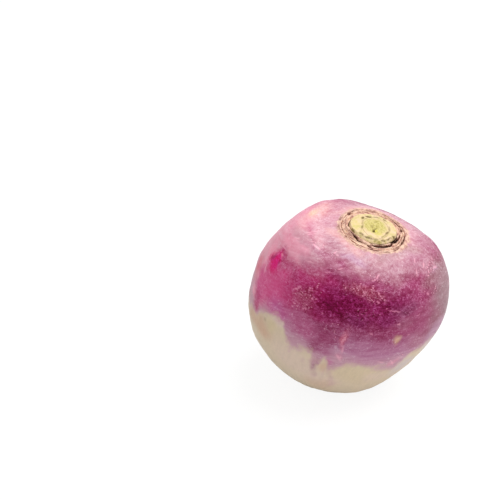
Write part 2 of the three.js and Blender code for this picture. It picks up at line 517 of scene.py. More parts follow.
def store(piece, name, values):
    """Keeps one number, one place or one colour for each vertex."""
    if values.ndim == 1:
        kept = piece.data.attributes.new(name, "FLOAT", "POINT")
        kept.data.foreach_set("value", values)
    elif name.endswith("place"):
        kept = piece.data.attributes.new(name, "FLOAT_VECTOR", "POINT")
        kept.data.foreach_set("vector", values.ravel())
    else:
        kept = piece.data.attributes.new(name, "FLOAT_COLOR", "POINT")
        kept.data.foreach_set("color", np.column_stack((values, np.ones(len(values)))).ravel())


def axis_distance(rows):
    return np.hypot(rows[:, 0], rows[:, 1])


def ring_places(rows):
    """Coordinates that run round the axis, for patterns drawn out into rings."""
    radius = axis_distance(rows)
    way = rows[:, :2] / np.maximum(radius, AXIS_RADIUS)[:, None]
    return np.column_stack((AROUND_PACE * way, RING_PACE * radius + rows[:, 2]))


def slanted_places(rows):
    """Coordinates that climb on the way round, for patterns brushed aslant."""
    azimuth = np.arctan2(rows[:, 1], rows[:, 0]) - math.radians(SLANT_AZIMUTH)
    return np.column_stack((rows[:, :2], rows[:, 2] - SLANT * np.sin(azimuth)))


def keep_places(piece):
    """Stores where each vertex of an upright piece is, for the finishes to read."""
    store(piece, "upright_place", places(piece))
    store(piece, "ring_place", ring_places(places(piece)))
    store(piece, "slanted_place", slanted_places(places(piece)))


# %% [markdown]
# ## Strokes and noise for carving
#
# The crown is too fine to be carved by hand: its thinnest splits are half a millimetre wide. So it
# is carved by numbers. A stroke is a soft patch with a middle, a half length and a half width, and
# the places that it is laid on wander a little by noise, so that it doesn't run true.

# %% Strokes and noise
STROKE_FIRMNESS = 2.0  # over 1, the middle of a patch is full and only its edge fades
CROWN_WANDER = (1.6, 0.3)  # size and reach of the noise that bends strokes on the crown


def noise_at(rows, size, seed=0.0):
    """Smooth noise from -1 to 1 at each row of places, with bumps of about the given size."""
    shift = Vector((seed, -seed, 2 * seed))
    return np.array([noise.noise(Vector(row) / size + shift) for row in rows])


def wander(rows, size, reach, seeds=(5, 11, 23)):
    """A small move by noise for each place."""
    return reach * np.column_stack([noise_at(rows, size, seed) for seed in seeds])


def fade(share):
    """0 below 0, 1 above 1, and a smooth rise between."""
    share = np.clip(share, 0, 1)
    return share * share * (3 - 2 * share)


def soft_cover(along, across, firmness=1.0):
    """1 in the middle of a soft patch and 0 past its edge, where the two shares reach 1."""
    return fade(firmness * (1 - np.hypot(along, across)))


def stroke_cover(rows, azimuth, radius, half_length, half_width, drift=0.0):
    """How much of a soft stroke along a ring reaches each place, 0 to 1."""
    turn = np.degrees(np.arctan2(rows[:, 1], rows[:, 0])) - azimuth
    along = np.radians((turn + 180) % 360 - 180) * radius
    across = axis_distance(rows) - radius - drift * along
    return soft_cover(along / half_length, across / half_width, STROKE_FIRMNESS)


# %% [markdown]
# ## The oval of the crown
#
# The pit of the crown is a little longer from front to back than it is wide, while the stub in it
# stays round. So the places between the stub and the shoulder are moved in or out.

# %% Oval
OVAL_WIDTH = -0.065  # change of the width of the pit, as a share
OVAL_LENGTH = 0.03
OVAL_START = 10.3  # nothing is moved nearer to the axis than this
OVAL_FULL = (14.0, 16.0)
OVAL_END = 21.0
OVAL_RISE = 3  # how far above the foot of the crown the move is full


def made_oval(rows):
    """The same upright places, with the pit of the crown made oval."""
    radius = axis_distance(rows)
    inner = fade((radius - OVAL_START) / (OVAL_FULL[0] - OVAL_START))
    outer = fade((OVAL_END - radius) / (OVAL_END - OVAL_FULL[1]))
    share = inner * outer * fade((rows[:, 2] - CROWN_FOOT) / OVAL_RISE)
    moved = rows.copy()
    moved[:, 0] *= 1 + OVAL_WIDTH * share
    moved[:, 1] *= 1 + OVAL_LENGTH * share
    return moved


# %% [markdown]
# ## The swollen root
#
# The root's half outline, as radius and height, runs from the scar of the tap root, round the
# skin, to the corky lip of the crown, and down into the shallow pit where the leaves stood.

# %% The root's outline
SCAR_OUTLINE = [(0, -42.6), (1.8, -42.7), (2.7, -43.1)]
SKIN_OUTLINE = [
    (3.5, -43.0), (9.7, -41.5), (20.0, -38.2), (30.8, -29.5), (37.1, -18.4), (39.8, -3.1),
    (39.1, 8.5), (36.8, 18.5), (32.0, 26.4), (24.2, 30.6), (16.6, 33.4),
]
LIP_RADIUS = 15.2
LIP_HEIGHT = 33.9
LIP_EDGE = 0.4
PIT_RADIUS = 14.3
PIT_FLOOR = 30.8
CROWN_OUTLINE = [
    (LIP_RADIUS, LIP_HEIGHT),
    (PIT_RADIUS + LIP_EDGE, LIP_HEIGHT),
    (PIT_RADIUS, LIP_HEIGHT - LIP_EDGE),
    (PIT_RADIUS, PIT_FLOOR + LIP_EDGE),
    (PIT_RADIUS - LIP_EDGE, PIT_FLOOR),
    (PIT_RADIUS / 2, PIT_FLOOR),
    (0, PIT_FLOOR),
]
print("widest at", max(SKIN_OUTLINE), "and", PIT_RADIUS, "in the pit")

# %% [markdown]
# ## The root's body
#
# The skin is a smooth curve through the few points of its outline. Spun in 96 steps and subdivided
# twice, it is fine enough for the wrinkles of the lip. Its upright places are kept, because all
# that follows is placed on the upright turnip.

# %% The root's body
ROOT_STEPS = 96
RINGS_PER_SPAN = 3
ROOT_LEVELS = 2
TOUCH = 0.01  # a vertex this little under a height still counts as being at it


def smooth_outline(points, rings):
    """A curve through points, with a number of rings in each span."""
    points = [np.array(point) for point in points]
    last = len(points) - 1
    curve = []
    for ring in range(last * rings + 1):
        span = min(ring // rings, last - 1)
        t = ring / rings - span
        before, start, end, after = (points[min(max(span + k, 0), last)] for k in (-1, 0, 1, 2))
        bend = (end - before) * t + (2 * before - 5 * start + 4 * end - after) * t**2
        bend += (3 * start - before - 3 * end + after) * t**3
        curve.append(tuple(start + bend / 2))
    return curve


skin_curve = smooth_outline(SKIN_OUTLINE, RINGS_PER_SPAN)
root = turned("turnip_root", SCAR_OUTLINE + skin_curve + CROWN_OUTLINE, ROOT_STEPS)
modified(root, "SUBSURF", levels=ROOT_LEVELS, render_levels=ROOT_LEVELS)
keep_places(root)
upright_root = places(root)
from_axis = axis_distance(upright_root)
in_crown = upright_root[:, 2] > PIT_FLOOR - TOUCH
print("root:", len(root.data.polygons), "faces")

# %% [markdown]
# ## Dents in the skin
#
# Skin is not a lathe turning either. A Displace modifier with a cloud texture gives shallow dents
# all over, and a second, finer one a faint unevenness. A vertex group keeps both out of the pit,
# where the leaf bases have to fit.

# %% Dents
DENTS = {"broad dents": (9.0, 0.7), "fine unevenness": (2.6, 0.16)}  # size, strength
CLOUD_DEPTH = 2

outside = root.vertex_groups.new(name="outside")
outside.add(np.flatnonzero(~in_crown | (from_axis > LIP_RADIUS)).tolist(), 1.0, "REPLACE")
for name, (size, strength) in DENTS.items():
    clouds = bpy.data.textures.new(name, "CLOUDS")
    clouds.noise_scale = size * MM
    clouds.noise_depth = CLOUD_DEPTH
    modified(root, "DISPLACE", texture=clouds, texture_coords="LOCAL", mid_level=0.5,
             strength=strength * MM, vertex_group="outside")
print("dents up to", max(strength for size, strength in DENTS.values()) / 2, "mm deep")

# %% [markdown]
# ## The corky lip
#
# The lip of the crown is cork, dried and cracked in rings. A few deep marks are placed as strokes.
# The rest is noise: one that reads the ring coordinates wrinkles the lip, and a broader one makes
# it rise and fall. How far the cork reaches out over the skin is kept for the finish, as is where
# the marks lie.

# %% Lip
LIP_MARKS = [  # azimuth, radius, half length, half width, depth, drift
    (273, 14.9, 3.2, 0.4, 0.35, 0.0), (243, 15.2, 1.4, 0.4, 0.3, 0.0),
    (311, 14.9, 3.6, 0.3, 0.3, -0.25), (330, 14.0, 3.0, 0.25, 0.25, -0.1),
    (95, 14.6, 1.4, 0.4, 0.3, 0.0), (124, 14.4, 1.6, 0.35, 0.3, 0.0), (135, 14.1, 1.8, 0.45, 0.35, 0.0),
    (40, 14.9, 1.0, 0.5, 0.2, 0.0), (217, 14.2, 1.2, 0.4, 0.2, 0.0), (158, 15.2, 2.0, 0.3, 0.15, 0.0),
    (187, 15.4, 2.2, 0.3, 0.15, 0.0), (290, 15.9, 2.2, 0.3, 0.15, 0.0),
]
MARGIN_WIDTH = 2.6  # how far the cork of the lip reaches out over the skin
MARGIN_UNEVEN = (2.2, 0.5)  # size of its tongues, and their length as a share
LIP_DEPTH = 1.5  # how far down the wall of the pit the lip reaches
LIP_WRINKLE = (1.0, 0.3)  # size and height
LIP_WAVE = (4.0, 0.25)

rows = made_oval(places(root))
oval_root = made_oval(upright_root)
wide = MARGIN_WIDTH * (1 + MARGIN_UNEVEN[1] * noise_at(upright_root, MARGIN_UNEVEN[0]))
margin = fade(1 - (from_axis - LIP_RADIUS) / wide) * in_crown
on_lip = margin * (upright_root[:, 2] > LIP_HEIGHT - LIP_DEPTH)
drawn = oval_root + wander(oval_root, *CROWN_WANDER)
lip_mark = np.zeros(len(rows))
for azimuth, radius, half_length, half_width, deep, drift in LIP_MARKS:
    cover = stroke_cover(drawn, azimuth, radius, half_length, half_width, drift) * on_lip
    rows[:, 2] -= deep * cover
    lip_mark = np.maximum(lip_mark, cover)
rows[:, 2] += LIP_WRINKLE[1] * on_lip * noise_at(ring_places(upright_root), LIP_WRINKLE[0])
rows[:, 2] += LIP_WAVE[1] * on_lip * noise_at(upright_root, LIP_WAVE[0])
set_places(root, rows)
print("marks on the lip:", len(LIP_MARKS))

# %% [markdown]
# ## The root grows and lies down
#
# With its lip carved, the root gets its uneven growth, is leant over and set down, and its foot is
# pressed flat. It has no sharp edge, so all of it is shaded smooth.

# %% The root set down
grow(root)
lay_down(root)
press_foot(root)
bpy.ops.object.shade_smooth()
print("root:", np.ptp(places(root), axis=0).round(1), "mm")

# %% [markdown]
# ## Where the colour lies on the skin
#
# The purple of a turnip is a blush: only the part that stood out of the soil gets it. It ends in
# an uneven edge with runs and tongues, deepest in the middle of its height and dusty pink at the
# crown. Such a blush is painted, not computed. The paint goes on the vertices, in soft dabs that
# are placed by azimuth and height, as a brush would in vertex paint mode. The finish then breaks
# the dabs up with grain, so none of them shows as a dab.
#
# A painter mixes the tints first, and gives them names.

# %% Tints
TINTS = {
    "dusty pink": "d8a2ae", "old rose": "c896a3", "rose": "a64a72", "wine": "8e1a54",
    "maroon": "7c0840", "plum": "852058", "purple": "9c3e68", "violet": "b0668a", "lilac": "be80a0",
    "pale lilac": "cb9cac", "mauve": "b87a90", "grey mauve": "9e6c78", "ash": "a07c84",
    "lavender": "c698b2", "pale pink": "eca0b4", "hot pink": "da588e", "cerise": "c03e76",
    "crimson": "a41a5a", "magenta": "e4127a", "orchid": "cc6ca0", "coral": "ea7488", "blush": "f8a0b8",
    "cork pink": "b05470", "peach": "e2b894", "apricot": "f0bfa6", "dusk": "b07286",
    "dark rose": "9c4569", "rose grey": "bd9499", "shell": "e3aeb0", "fuchsia": "b85480",
    "dark plum": "80345a", "cream": "dfcbb0", "pale cream": "e4d2ba", "straw": "dbc7a2",
    "pink cream": "e5cdbe", "tan": "d6b095", "chalk": "dcccc8", "olive": "a89468",
}
print("tints:", len(TINTS))

# %% [markdown]
# ## The ground, and the dabs on the left
#
# First comes the ground tone by height, then the dabs in their order. A dab is its azimuth, its
# height, its half width and half height in millimetres, its tint and its strength. The front looks
# to azimuth 270. Towards the crown the ground turns pale, partly as pigment and partly as painted
# sheen. The left is pale and pink, with one bright magenta spot. Its strong pink and the coral at
# its edge are partly a painted pink reflection, the pale dabs high on its shoulder are partly
# painted sheen, and the pinkish white dabs beside the spot are painted highlights.

# %% Ground and left
# paler towards the crown: partly pigment, partly painted sheen
GROUND = [  # height and tint, from the crown down
    (35, "dusty pink"), (32.2, "old rose"), (30, "dusk"), (28, "dark rose"), (24, "wine"), (16, "wine"),
    (11, "purple"), (6, "violet"), (0, "lilac"), (-6, "pale lilac"), (-43, "pale lilac"),
]
# left pink and coral partly painted reflection; pale shoulder dabs partly painted sheen; pinkish white
# dabs by the spot painted highlights
LEFT_DABS = [
    (160, 16, 52, 34, "pale pink", 1.0), (185, 31, 40, 5, "dusty pink", 0.9),
    (220, 34.3, 34, 4, "shell", 0.9), (182, 28, 22, 4, "shell", 0.5),
    (207, 24, 26, 8, "pale pink", 0.9), (208, 28, 22, 5, "old rose", 0.9),
    (183, 1, 9, 9, "coral", 0.65), (212, 8, 17, 16, "hot pink", 1.0), (228, 20, 11, 7, "cerise", 0.9),
    (226, 10, 10, 12, "cerise", 0.8), (222, 1, 10, 6, "orchid", 0.8), (200, 0, 13, 12, "hot pink", 1.0),
    (226, 24, 12, 4, "mauve", 0.7), (190, 8, 5, 6, "blush", 1.0), (187, 14, 7, 6, "blush", 0.7),
    (190, 0, 4, 3, "blush", 0.6), (192, -8, 6, 4, "blush", 0.8),
    (201.5, 17.6, 6.5, 4.6, "cerise", 0.85), (198.5, 12.6, 7.6, 6.6, "magenta", 1.0),
    (201, 16, 4, 3.2, "magenta", 0.7), (202, 17.4, 1.6, 1.4, "blush", 0.7),
    (194.5, 13, 1.4, 3.0, "crimson", 0.7), (204, 14.8, 1.5, 1.3, "crimson", 0.7),
    (200, -8, 6, 9, "cerise", 0.8), (196, 5, 8, 7, "hot pink", 0.6), (195, 21.5, 8, 3, "blush", 0.5),
]
print("dabs on the left:", len(LEFT_DABS))

# %% [markdown]
# ## The dabs in the middle
#
# The blush is darkest here, in a band under the shoulder. Above the band it stays dusty, and
# towards the white skin it turns violet.

# %% Middle
MIDDLE_DABS = [
    (230, 28.7, 22, 4, "mauve", 0.8), (250, 31.5, 9, 3, "lavender", 0.7),
    (238, 24, 16, 4, "cerise", 0.5), (243, 16, 14, 8, "crimson", 0.9), (250, 10, 16, 6, "wine", 0.7),
    (254, 16, 12, 6, "maroon", 1.0), (262, 19, 9, 5, "maroon", 0.8), (254, 21, 9, 4, "maroon", 0.5),
    (234, 12, 7, 7, "cork pink", 0.5), (268, 25, 15, 4, "cork pink", 0.8), (271, 14, 9, 5, "plum", 0.7),
    (240, 2, 16, 8, "fuchsia", 0.7), (240, 9, 12, 4, "crimson", 0.5), (258, 4, 11, 8, "purple", 0.8),
    (254, -3, 6, 6, "purple", 0.7), (259, -4, 6, 4, "violet", 0.8), (268, 4, 2, 8, "coral", 0.4),
    (269, -4, 2.5, 2, "blush", 0.6), (265, -8, 3.5, 3, "orchid", 0.5),
]
print("dabs in the middle:", len(MIDDLE_DABS))

# %% [markdown]
# ## The dabs on the right and at the back
#
# The right is dark at the shoulder and greyer round the flank, with a few small pale spots. The
# grey and lilac dabs beyond azimuth 330 are painted reflection and sheen. The back needs fewer
# dabs, and they are broader.

# %% Right and back
# grey and lilac dabs beyond azimuth 330: painted reflection and sheen
RIGHT_DABS = [
    (287, 21, 9, 5, "maroon", 0.7), (302, 22, 14, 5, "plum", 1.0), (305, 12, 14, 5, "rose", 0.8),
    (295, 17, 16, 5, "plum", 0.6), (302, 20, 11, 4, "dark plum", 0.7), (288, 11, 10, 4, "purple", 0.7),
    (318, 20, 22, 14, "rose", 0.8), (316, 28, 16, 4, "rose", 0.7), (14, 15, 17, 15, "rose", 0.6),
    (343, 16, 21, 19, "ash", 0.95), (342, 28, 24, 5, "grey mauve", 0.9), (322, 14, 15, 12, "rose", 0.6),
    (332, 10, 9, 10, "grey mauve", 0.5), (322, 32, 16, 4, "mauve", 0.6), (353, 24, 18, 10, "ash", 0.8),
    (350, 32, 30, 5, "mauve", 0.6), (303, 21.5, 9, 4, "dark plum", 0.5), (318, 4, 11, 7, "mauve", 0.7),
    (335, 6, 10, 7, "lavender", 0.7), (300.2, 7.6, 3.4, 2.7, "peach", 0.75),
    (306, -5, 4, 2.6, "blush", 0.45), (298, 15.3, 1.3, 1.1, "blush", 0.8),
    (293, 21.3, 4.5, 0.7, "lavender", 0.9), (215, 29.0, 3.6, 0.8, "chalk", 0.5),
    (342, 28.5, 6, 1.2, "lavender", 0.5), (312, 34, 24, 4, "rose grey", 0.7),
    (257.5, -14, 4, 8, "mauve", 0.6), (257.5, -15, 3, 6, "ash", 0.4), (302, 15, 8, 5, "mauve", 0.3),
]
BACK_DABS = [
    (110, 33.5, 44, 5, "shell", 0.6), (150, 29.6, 15, 7, "shell", 0.9),
    (155, 28.9, 7, 3.2, "apricot", 0.8), (115, 16, 20, 8, "hot pink", 0.5),
    (95, 19, 14, 6, "crimson", 0.8), (60, 14, 20, 8, "wine", 0.6), (30, 20, 16, 8, "plum", 0.5),
    (75, 3, 18, 6, "violet", 0.7), (20, 5, 16, 7, "orchid", 0.5), (130, 4, 16, 7, "orchid", 0.6),
]
print("dabs on the right:", len(RIGHT_DABS), "at the back:", len(BACK_DABS))

# %% [markdown]
# ## How a dab is painted
#
# A dab is an oval on the skin: its height runs along the skin, so it doesn't smear where the
# shoulder curves in. It is laid over what is already there, and its middle reaches the full
# strength before the edge starts to fade.

# %% Painting
DABS = LEFT_DABS + MIDDLE_DABS + RIGHT_DABS + BACK_DABS
DAB_FIRMNESS = 1.35  # over 1, the middle of a dab reaches its full strength


def outline_radius(heights):
    """The radius of the upright skin at given heights."""
    curve = np.array(skin_curve)
    order = np.argsort(curve[:, 1])
    return np.interp(heights, curve[order, 1], curve[order, 0])


def dab_cover(upright, azimuth, height, half_width, half_height):
    """How much of a soft dab reaches each place of the upright skin, 0 to 1."""
    turn = math.radians(azimuth)
    offset = upright - np.array(on_turnip(azimuth, outline_radius(height), height))
    sideways = offset @ np.array((-math.sin(turn), math.cos(turn), 0))
    along = np.sqrt(np.maximum((offset**2).sum(axis=1) - sideways**2, 0))
    return soft_cover(sideways / half_width, along / half_height)


def patches(upright, dabs):
    """Dabs of a number instead of a tint, each with its strength last, added up."""
    return sum(dab_cover(upright, *dab[:4]) * dab[4] for dab in dabs)


def painted(upright, ground, dabs):
    """The tint of each place: a ground tone by height, then the dabs over it."""
    heights = [height for height, tint in reversed(ground)]
    tones = np.array([paint(TINTS[tint])[:3] for height, tint in reversed(ground)])
    colour = np.column_stack([np.interp(upright[:, 2], heights, tone) for tone in tones.T])
    for azimuth, height, half_width, half_height, tint, strength in dabs:
        cover = dab_cover(upright, azimuth, height, half_width, half_height)
        share = np.minimum(DAB_FIRMNESS * strength * cover, strength)[:, None]
        colour += share * (np.array(paint(TINTS[tint])[:3]) - colour)
    return colour


print("dabs:", len(DABS))

# %% [markdown]
# ## The edge of the blush, and the stains
#
# The edge is a height for each azimuth, joined up, with the tongues that hang from it. What is
# stored is how far a vertex lies above the edge. The finish adds noise to that height before it
# decides between white and purple, which softens and frays the edge. Below it a few faint stains
# run down, where colour followed a fine root.

# %% Edge and stains
EDGE = [  # azimuth, height of the lowest purple
    (0, 0), (25, -4), (50, -7), (75, -3), (100, -9), (125, -6), (150, -12), (175, -15), (192, -15),
    (203, -13.3), (211, -8.8), (218, -5), (224, -3.2), (229, -3.2), (232, -6.5), (236, -11.3),
    (240, -12.4), (244, -10), (249, -7), (252.5, -7), (254.5, -11), (257, -13), (259, -12), (261, -7.3),
    (263, -8.5), (265, -11.5), (268, -13), (272, -11), (275, -8.5), (283, -6), (291, -6.8), (298, -8),
    (305, -9.7), (311, -10), (314, -6), (318, -2.5), (326, 0), (335, 1.5), (360, 0),
]
STAINS = [  # azimuth, height, half width, half height, strength
    (255.5, -10, 2.4, 5, 0.9), (257, -14, 2.2, 4.5, 0.85), (259, -18, 1.8, 3, 0.5),
    (250, -14, 1.4, 1.6, 0.4), (264, -15, 1.2, 5, 0.25), (268, -13, 2.6, 4, 0.5),
    (271, -17, 2.2, 5, 0.4), (274, -21, 2.2, 5, 0.35), (309, -9, 5, 3, 0.4),
    (213, -9.5, 2.5, 1.2, 0.35), (90, -14, 2, 6, 0.5), (40, -12, 2, 5, 0.5),
]
print("points of the edge:", len(EDGE), "stains:", len(STAINS))

# %% [markdown]
# ## White skin, cork and calm
#
# The white skin gets a few dabs too, pinkish or straw coloured. Cork is the tan, broken skin that
# forms over scrapes. It comes in patches, and the same kind of dab says how thickly its flecks lie.
# Elsewhere the skin is calm: it was never rubbed, so its blush is smoother there.

# %% White skin, cork and calm
FLESH_GROUND = [(10, "cream"), (-16, "cream"), (-30, "pale cream"), (-43, "straw")]
FLESH_DABS = [
    (214, -9.4, 2.6, 1.1, "olive", 0.7), (271, -14.7, 1.2, 1.0, "olive", 0.7),
    (212, -15, 14, 7, "tan", 0.8), (198, -17, 9, 5, "tan", 0.7), (225, -4, 8, 5, "pink cream", 0.9),
    (246, -17, 20, 12, "pink cream", 0.7), (266, -20, 12, 8, "pink cream", 0.6),
    (222, -9, 5, 5, "straw", 0.7), (262, -12, 3, 4, "tan", 0.6), (288, -12, 18, 8, "straw", 0.35),
    (268, -24, 10, 9, "tan", 0.4), (302, -14, 12, 5, "pink cream", 0.6), (319, -10, 9, 8, "chalk", 0.9),
    (333, 0, 10, 8, "chalk", 0.8), (324, -1, 5, 4, "straw", 0.6), (60, -16, 20, 10, "straw", 0.7),
    (120, -18, 20, 9, "pink cream", 0.7),
]
CORK = [  # azimuth, height, half width, half height, how thick the flecks lie
    (268, 25, 14, 5, 1.1), (279, 24, 8, 6, 0.9), (273, 18, 8, 6, 0.6), (230, 14, 6, 5, 1.1),
    (237, 17.5, 6, 4, 1.0), (234, 9, 8, 4, 0.9), (339, 29.5, 16, 4, 0.9), (325, 25, 12, 6, 0.4),
    (212, 28, 9, 3, 0.5), (268, 5, 5, 8, 0.6), (256, 7, 10, 5, 0.4), (310, -4, 9, 6, 0.6),
    (205, 30, 28, 4, 0.35), (100, 24, 18, 6, 0.7), (40, 12, 16, 8, 0.4), (150, 14, 14, 6, 0.4),
    (275, 29, 12, 3, 0.4),
]
CALM = [  # the same, for how much smoother the blush is there
    (318, 13, 26, 15, 0.75), (300, 5, 20, 8, 0.5), (212, 6, 22, 15, 0.7), (190, 27, 40, 10, 0.7),
    (345, 18, 22, 15, 0.7), (262, -2, 30, 7, 0.3), (247, 18, 12, 6, 0.2), (255, 28, 24, 5, 0.5),
]
CALM_MOST = 0.85
print("patches of cork:", len(CORK), "calm patches:", len(CALM))

# %% [markdown]
# ## The paint goes on
#
# Painted dabs are never true ovals, so the places that they are laid on wander a little. The
# edge and the stains are finer, so they wander half as much. Each layer is stored on the vertices
# under its own name, and the finish reads it from there.

# %% Paint on the root
PAINT_WANDER = ((7.0, 2.0), (2.4, 0.8))  # size and reach
PAINT_SEEDS = (3, 17, 31)
# the pit's dark brown is painted shade in the recess under the lip
PIT_BLUR = 0.3  # how far the brown of the pit reaches into its wall
PIT_SHADE = (0.6, 1.0)  # how far under the lip it starts, and over what height it grows

moves = sum(wander(upright_root, size, reach, PAINT_SEEDS) for size, reach in PAINT_WANDER)
bent = upright_root + moves
half_bent = upright_root + moves / 2
azimuths = np.degrees(np.arctan2(half_bent[:, 1], half_bent[:, 0])) % 360
under_lip = fade((LIP_HEIGHT - PIT_SHADE[0] - upright_root[:, 2]) / PIT_SHADE[1])

store(root, "rise", half_bent[:, 2] - np.interp(azimuths, *zip(*EDGE)))
store(root, "tint", painted(bent, GROUND, DABS))
store(root, "flesh", painted(bent, FLESH_GROUND, FLESH_DABS))
store(root, "stain", patches(half_bent, STAINS))
store(root, "cork", patches(bent, CORK))
store(root, "calm", np.clip(patches(bent, CALM), 0, CALM_MOST))
store(root, "margin", margin)
store(root, "lip_mark", lip_mark)
# pit: painted shade on the wall of the pit, under the lip
store(root, "pit", (from_axis < PIT_RADIUS + PIT_BLUR) * in_crown * under_lip)
print("layers of the root:", [layer.name for layer in root.data.attributes if layer.name[0] != "."])

# %% [markdown]
# ## The finish of the skin: its patterns
#
# Turnip skin is smooth, a little waxy, and thin enough that the colour seems to lie in it. All its
# patterns are noises laid on the upright place, so they follow the root's own axis wherever it
# lies: a broad cloud, a mottle, a fine grain, upright streaks for the white skin, and smears and
# strokes for the blush, which climb a little on their way round.

# %% Skin patterns
skin = Finish("turnip_skin", Specular_IOR_Level=0.08)
upright = skin.attribute("upright_place", "Vector")
slanted = skin.attribute("slanted_place", "Vector")
cloud = skin.noise(upright, 0.22)
mottle = skin.noise(upright, 0.8, 5, 0.65)
grain = skin.noise(upright, 2.4, 4, 0.7)
streaks = skin.noise(skin.stretched(upright, (0.8, 0.8, 0.12)), 1.0)
smears = skin.noise(skin.stretched(slanted, (0.12, 0.12, 0.6)), 1.0, 4, 0.6, 0.6)
strokes = skin.noise(skin.stretched(slanted, (0.5, 0.5, 2.4)), 1.0, 4, 0.65, 0.8)
print("nodes of the patterns:", len(skin.tree.nodes))

# %% [markdown]
# ## The white skin
#
# Below the soil line the skin is creamy white. The painted cream is shaded a little by the streaks
# and the mottle, the streaks turn faintly pink where they are strong, and the finest grain leaves
# specks of tan, as soil does in the pores.

# %% White skin
light = skin.times(
    skin.between(streaks, 0.25, 0.75, 0.97, 1.03), skin.between(mottle, 0.25, 0.75, 0.97, 1.03)
)
white = skin.mix(1.0, skin.attribute("flesh", "Color"), light, "MULTIPLY")
white = skin.mix(skin.between(streaks, 0.55, 0.8, 0, 0.25), white, "e2c3b4")
white = skin.mix(skin.between(grain, 0.66, 0.78, 0, 0.3), white, "b79c78")
print("nodes with the white skin:", len(skin.tree.nodes))

# %% [markdown]
# ## The blush
#
# The painted tint is raised to a power that changes from place to place: over 1 it is deeper and
# richer, under 1 paler, as where more or less colour lies in the skin. The mottle, the grain and
# the strokes move the power. They count most where the tint is deep, which shows as little green
# in it, and round the shoulder, and least where the skin is calm. The broad smears always count.

# %% Blush
GRAIN_POWER = 0.24
STROKE_POWER = 0.18
SMEAR_POWER = 0.14

tint = skin.attribute("tint", "Color")
green = skin.add("SeparateColor", {0: tint}).outputs[1]
height = skin.add("SeparateXYZ", {0: upright}).outputs[2]
grit = skin.times(
    skin.most(skin.between(green, 0.02, 0.3, 1.0, 0.3), skin.between(height, 20, 30, 0, 0.7)),
    skin.between(height, 2, 14, 0.5, 1.0),
    skin.between(green, 0.005, 0.03, 1.25, 1.0),
    skin.joined("SUBTRACT", 1.0, skin.attribute("calm")),
)
unevenness = skin.plus(
    skin.between(mottle, 0.28, 0.72, GRAIN_POWER, -GRAIN_POWER),
    skin.between(grain, 0.3, 0.7, GRAIN_POWER, -GRAIN_POWER),
    skin.between(strokes, 0.3, 0.7, STROKE_POWER, -STROKE_POWER),
)
smeared = skin.between(smears, 0.25, 0.75, SMEAR_POWER, -SMEAR_POWER)
blush = skin.deepened(tint, skin.plus(skin.times(unevenness, grit), smeared, 1.0))
print("nodes with the blush:", len(skin.tree.nodes))

# %% [markdown]
# ## Flecks of cork
#
# A scrape heals with tiny flecks of cork. Each fleck gets a darker rim, a painted shadow beside it.
# Voronoi cells are such flecks: every cell has a chance by its random colour, and where cork lies
# thick, more cells are chosen.
# Between them a broken noise joins some into crusts. The cells are jolted by another noise, so
# that they aren't round.

# %% Flecks
cork = skin.attribute("cork")
jolt = skin.add("TexNoise", {"Vector": upright, "Scale": 1.3, "Detail": 3.0}).outputs["Color"]
jolted = skin.add("VectorMath", {0: upright, 1: jolt}, operation="ADD").outputs[0]
cells = skin.add("TexVoronoi", {"Vector": skin.stretched(jolted, (1, 1, 1.5)), "Scale": 0.95})
off_middle = cells.outputs["Distance"]
chance = skin.add("SeparateColor", {0: cells.outputs["Color"]}).outputs[0]
chosen = skin.between(skin.plus(chance, skin.times(cork, 0.4)), 0.99, 1.04)
thick = skin.between(cork, 0.25, 1.0)
broken = skin.noise(skin.stretched(jolted, (0.7, 0.7, 1.4)), 0.9, 4, 0.7)
fleck = skin.most(
    skin.times(chosen, skin.between(off_middle, 0.26, 0.48, 1, 0)),
    skin.times(thick, skin.between(broken, 0.54, 0.6, 0, 0.8)),
)
# the rim is painted shadow round the flecks and the crusts
rim = skin.most(
    skin.times(chosen, skin.between(off_middle, 0.5, 0.9, 1, 0)),
    skin.times(thick, skin.between(broken, 0.5, 0.4)),
)
rim = skin.times(rim, skin.between(green, 0.02, 0.3, 0.9, 0.25))
lighter = skin.deepened(tint, 0.5)
pale = skin.mix(0.4, lighter, "ff94b2")
# painted shadow of the rims deepens the blush
blush = skin.mix(rim, blush, skin.deepened(blush, 1.4))
blush = skin.mix(skin.times(fleck, 0.95), blush, pale)
print("nodes with the flecks:", len(skin.tree.nodes))

# %% [markdown]
# ## Scratches
#
# Roots are scratched when they are pulled and tipped into crates. A scratch is given by its two
# ends on the upright skin, its half width and its strength. The shortest ones are single flecks
# that catch the eye.

